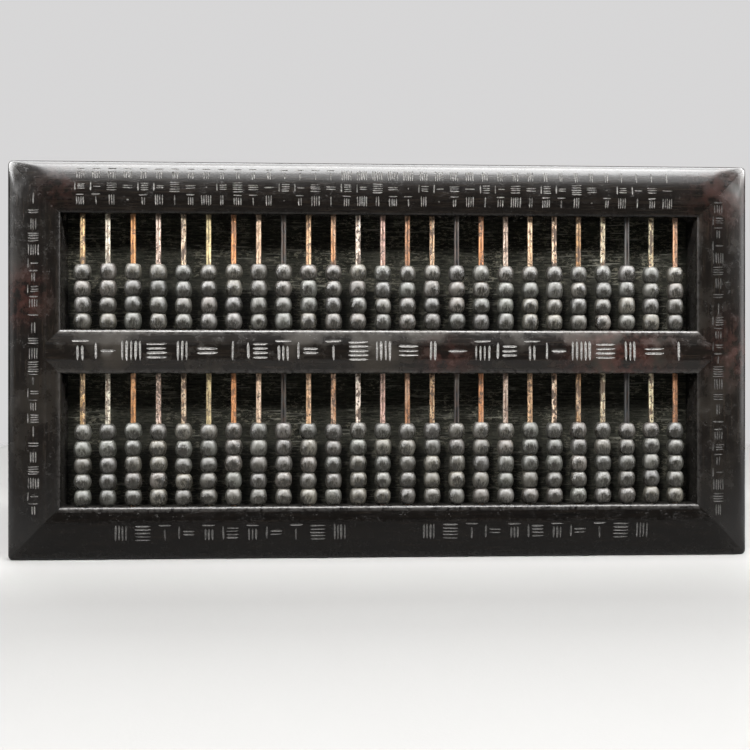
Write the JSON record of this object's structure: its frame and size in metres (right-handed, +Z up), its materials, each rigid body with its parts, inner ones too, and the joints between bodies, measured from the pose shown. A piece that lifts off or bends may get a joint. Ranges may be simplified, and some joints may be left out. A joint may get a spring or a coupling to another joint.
{
  "type": "abacus",
  "caption": "Antique counting frame: mitred dark hardwood tray with a dividing beam, metal rods and sliding barrel beads over a back board.",
  "frame": {"origin": "under the middle of the lower long edge, on the surface the frame stands on", "axes": "+X to the right along the rails, +Y from the open front to the back board, +Z up along the rods"},
  "size_m": [0.4, 0.028, 0.2134],
  "materials": {
    "ebony": "satin",
    "panel_wood": "matte",
    "rod_metal": "satin",
    "bead_wood": "matte"
  },
  "bodies": {
    "frame": {"top_rail": "ebony", "bottom_rail": "ebony", "left_stile": "ebony", "right_stile": "ebony", "beam_and_rods": "ebony", "back_panel": "panel_wood"},
    "upper_beads_01": {"upper_beads_01": "bead_wood"},
    "upper_beads_02": {"upper_beads_02": "bead_wood"},
    "upper_beads_03": {"upper_beads_03": "bead_wood"},
    "upper_beads_04": {"upper_beads_04": "bead_wood"},
    "upper_beads_05": {"upper_beads_05": "bead_wood"},
    "upper_beads_06": {"upper_beads_06": "bead_wood"},
    "upper_beads_07": {"upper_beads_07": "bead_wood"},
    "upper_beads_08": {"upper_beads_08": "bead_wood"},
    "upper_beads_09": {"upper_beads_09": "bead_wood"},
    "upper_beads_10": {"upper_beads_10": "bead_wood"},
    "upper_beads_11": {"upper_beads_11": "bead_wood"},
    "upper_beads_12": {"upper_beads_12": "bead_wood"},
    "upper_beads_13": {"upper_beads_13": "bead_wood"},
    "upper_beads_14": {"upper_beads_14": "bead_wood"},
    "upper_beads_15": {"upper_beads_15": "bead_wood"},
    "upper_beads_16": {"upper_beads_16": "bead_wood"},
    "upper_beads_17": {"upper_beads_17": "bead_wood"},
    "upper_beads_18": {"upper_beads_18": "bead_wood"},
    "upper_beads_19": {"upper_beads_19": "bead_wood"},
    "upper_beads_20": {"upper_beads_20": "bead_wood"},
    "upper_beads_21": {"upper_beads_21": "bead_wood"},
    "upper_beads_22": {"upper_beads_22": "bead_wood"},
    "upper_beads_23": {"upper_beads_23": "bead_wood"},
    "upper_beads_24": {"upper_beads_24": "bead_wood"},
    "upper_beads_25": {"upper_beads_25": "bead_wood"},
    "lower_beads_01": {"lower_beads_01": "bead_wood"},
    "lower_beads_02": {"lower_beads_02": "bead_wood"},
    "lower_beads_03": {"lower_beads_03": "bead_wood"},
    "lower_beads_04": {"lower_beads_04": "bead_wood"},
    "lower_beads_05": {"lower_beads_05": "bead_wood"},
    "lower_beads_06": {"lower_beads_06": "bead_wood"},
    "lower_beads_07": {"lower_beads_07": "bead_wood"},
    "lower_beads_08": {"lower_beads_08": "bead_wood"},
    "lower_beads_09": {"lower_beads_09": "bead_wood"},
    "lower_beads_10": {"lower_beads_10": "bead_wood"},
    "lower_beads_11": {"lower_beads_11": "bead_wood"},
    "lower_beads_12": {"lower_beads_12": "bead_wood"},
    "lower_beads_13": {"lower_beads_13": "bead_wood"},
    "lower_beads_14": {"lower_beads_14": "bead_wood"},
    "lower_beads_15": {"lower_beads_15": "bead_wood"},
    "lower_beads_16": {"lower_beads_16": "bead_wood"},
    "lower_beads_17": {"lower_beads_17": "bead_wood"},
    "lower_beads_18": {"lower_beads_18": "bead_wood"},
    "lower_beads_19": {"lower_beads_19": "bead_wood"},
    "lower_beads_20": {"lower_beads_20": "bead_wood"},
    "lower_beads_21": {"lower_beads_21": "bead_wood"},
    "lower_beads_22": {"lower_beads_22": "bead_wood"},
    "lower_beads_23": {"lower_beads_23": "bead_wood"},
    "lower_beads_24": {"lower_beads_24": "bead_wood"},
    "lower_beads_25": {"lower_beads_25": "bead_wood"}
  },
  "joints": [
    {"name": "upper_beads_01_slide", "type": "slide", "parent": "frame", "child": "upper_beads_01", "axis": [0, 0, 1], "range_m": [0, 0.0258]},
    {"name": "upper_beads_02_slide", "type": "slide", "parent": "frame", "child": "upper_beads_02", "axis": [0, 0, 1], "range_m": [0, 0.0258]},
    {"name": "upper_beads_03_slide", "type": "slide", "parent": "frame", "child": "upper_beads_03", "axis": [0, 0, 1], "range_m": [0, 0.0258]},
    {"name": "upper_beads_04_slide", "type": "slide", "parent": "frame", "child": "upper_beads_04", "axis": [0, 0, 1], "range_m": [0, 0.0258]},
    {"name": "upper_beads_05_slide", "type": "slide", "parent": "frame", "child": "upper_beads_05", "axis": [0, 0, 1], "range_m": [0, 0.0258]},
    {"name": "upper_beads_06_slide", "type": "slide", "parent": "frame", "child": "upper_beads_06", "axis": [0, 0, 1], "range_m": [0, 0.0258]},
    {"name": "upper_beads_07_slide", "type": "slide", "parent": "frame", "child": "upper_beads_07", "axis": [0, 0, 1], "range_m": [0, 0.0258]},
    {"name": "upper_beads_08_slide", "type": "slide", "parent": "frame", "child": "upper_beads_08", "axis": [0, 0, 1], "range_m": [0, 0.0258]},
    {"name": "upper_beads_09_slide", "type": "slide", "parent": "frame", "child": "upper_beads_09", "axis": [0, 0, 1], "range_m": [0, 0.0258]},
    {"name": "upper_beads_10_slide", "type": "slide", "parent": "frame", "child": "upper_beads_10", "axis": [0, 0, 1], "range_m": [0, 0.0258]},
    {"name": "upper_beads_11_slide", "type": "slide", "parent": "frame", "child": "upper_beads_11", "axis": [0, 0, 1], "range_m": [0, 0.0258]},
    {"name": "upper_beads_12_slide", "type": "slide", "parent": "frame", "child": "upper_beads_12", "axis": [0, 0, 1], "range_m": [0, 0.0258]},
    {"name": "upper_beads_13_slide", "type": "slide", "parent": "frame", "child": "upper_beads_13", "axis": [0, 0, 1], "range_m": [0, 0.0258]},
    {"name": "upper_beads_14_slide", "type": "slide", "parent": "frame", "child": "upper_beads_14", "axis": [0, 0, 1], "range_m": [0, 0.0258]},
    {"name": "upper_beads_15_slide", "type": "slide", "parent": "frame", "child": "upper_beads_15", "axis": [0, 0, 1], "range_m": [0, 0.0258]},
    {"name": "upper_beads_16_slide", "type": "slide", "parent": "frame", "child": "upper_beads_16", "axis": [0, 0, 1], "range_m": [0, 0.0258]},
    {"name": "upper_beads_17_slide", "type": "slide", "parent": "frame", "child": "upper_beads_17", "axis": [0, 0, 1], "range_m": [0, 0.0258]},
    {"name": "upper_beads_18_slide", "type": "slide", "parent": "frame", "child": "upper_beads_18", "axis": [0, 0, 1], "range_m": [0, 0.0258]},
    {"name": "upper_beads_19_slide", "type": "slide", "parent": "frame", "child": "upper_beads_19", "axis": [0, 0, 1], "range_m": [0, 0.0258]},
    {"name": "upper_beads_20_slide", "type": "slide", "parent": "frame", "child": "upper_beads_20", "axis": [0, 0, 1], "range_m": [0, 0.0258]},
    {"name": "upper_beads_21_slide", "type": "slide", "parent": "frame", "child": "upper_beads_21", "axis": [0, 0, 1], "range_m": [0, 0.0258]},
    {"name": "upper_beads_22_slide", "type": "slide", "parent": "frame", "child": "upper_beads_22", "axis": [0, 0, 1], "range_m": [0, 0.0258]},
    {"name": "upper_beads_23_slide", "type": "slide", "parent": "frame", "child": "upper_beads_23", "axis": [0, 0, 1], "range_m": [0, 0.0258]},
    {"name": "upper_beads_24_slide", "type": "slide", "parent": "frame", "child": "upper_beads_24", "axis": [0, 0, 1], "range_m": [0, 0.0258]},
    {"name": "upper_beads_25_slide", "type": "slide", "parent": "frame", "child": "upper_beads_25", "axis": [0, 0, 1], "range_m": [0, 0.0258]},
    {"name": "lower_beads_01_slide", "type": "slide", "parent": "frame", "child": "lower_beads_01", "axis": [0, 0, 1], "range_m": [0, 0.0259]},
    {"name": "lower_beads_02_slide", "type": "slide", "parent": "frame", "child": "lower_beads_02", "axis": [0, 0, 1], "range_m": [0, 0.0259]},
    {"name": "lower_beads_03_slide", "type": "slide", "parent": "frame", "child": "lower_beads_03", "axis": [0, 0, 1], "range_m": [0, 0.0259]},
    {"name": "lower_beads_04_slide", "type": "slide", "parent": "frame", "child": "lower_beads_04", "axis": [0, 0, 1], "range_m": [0, 0.0259]},
    {"name": "lower_beads_05_slide", "type": "slide", "parent": "frame", "child": "lower_beads_05", "axis": [0, 0, 1], "range_m": [0, 0.0259]},
    {"name": "lower_beads_06_slide", "type": "slide", "parent": "frame", "child": "lower_beads_06", "axis": [0, 0, 1], "range_m": [0, 0.0259]},
    {"name": "lower_beads_07_slide", "type": "slide", "parent": "frame", "child": "lower_beads_07", "axis": [0, 0, 1], "range_m": [0, 0.0259]},
    {"name": "lower_beads_08_slide", "type": "slide", "parent": "frame", "child": "lower_beads_08", "axis": [0, 0, 1], "range_m": [0, 0.0259]},
    {"name": "lower_beads_09_slide", "type": "slide", "parent": "frame", "child": "lower_beads_09", "axis": [0, 0, 1], "range_m": [0, 0.0259]},
    {"name": "lower_beads_10_slide", "type": "slide", "parent": "frame", "child": "lower_beads_10", "axis": [0, 0, 1], "range_m": [0, 0.0259]},
    {"name": "lower_beads_11_slide", "type": "slide", "parent": "frame", "child": "lower_beads_11", "axis": [0, 0, 1], "range_m": [0, 0.0259]},
    {"name": "lower_beads_12_slide", "type": "slide", "parent": "frame", "child": "lower_beads_12", "axis": [0, 0, 1], "range_m": [0, 0.0259]},
    {"name": "lower_beads_13_slide", "type": "slide", "parent": "frame", "child": "lower_beads_13", "axis": [0, 0, 1], "range_m": [0, 0.0259]},
    {"name": "lower_beads_14_slide", "type": "slide", "parent": "frame", "child": "lower_beads_14", "axis": [0, 0, 1], "range_m": [0, 0.0259]},
    {"name": "lower_beads_15_slide", "type": "slide", "parent": "frame", "child": "lower_beads_15", "axis": [0, 0, 1], "range_m": [0, 0.0259]},
    {"name": "lower_beads_16_slide", "type": "slide", "parent": "frame", "child": "lower_beads_16", "axis": [0, 0, 1], "range_m": [0, 0.0259]},
    {"name": "lower_beads_17_slide", "type": "slide", "parent": "frame", "child": "lower_beads_17", "axis": [0, 0, 1], "range_m": [0, 0.0259]},
    {"name": "lower_beads_18_slide", "type": "slide", "parent": "frame", "child": "lower_beads_18", "axis": [0, 0, 1], "range_m": [0, 0.0259]},
    {"name": "lower_beads_19_slide", "type": "slide", "parent": "frame", "child": "lower_beads_19", "axis": [0, 0, 1], "range_m": [0, 0.0259]},
    {"name": "lower_beads_20_slide", "type": "slide", "parent": "frame", "child": "lower_beads_20", "axis": [0, 0, 1], "range_m": [0, 0.0259]},
    {"name": "lower_beads_21_slide", "type": "slide", "parent": "frame", "child": "lower_beads_21", "axis": [0, 0, 1], "range_m": [0, 0.0259]},
    {"name": "lower_beads_22_slide", "type": "slide", "parent": "frame", "child": "lower_beads_22", "axis": [0, 0, 1], "range_m": [0, 0.0259]},
    {"name": "lower_beads_23_slide", "type": "slide", "parent": "frame", "child": "lower_beads_23", "axis": [0, 0, 1], "range_m": [0, 0.0259]},
    {"name": "lower_beads_24_slide", "type": "slide", "parent": "frame", "child": "lower_beads_24", "axis": [0, 0, 1], "range_m": [0, 0.0259]},
    {"name": "lower_beads_25_slide", "type": "slide", "parent": "frame", "child": "lower_beads_25", "axis": [0, 0, 1], "range_m": [0, 0.0259]}
  ]
}
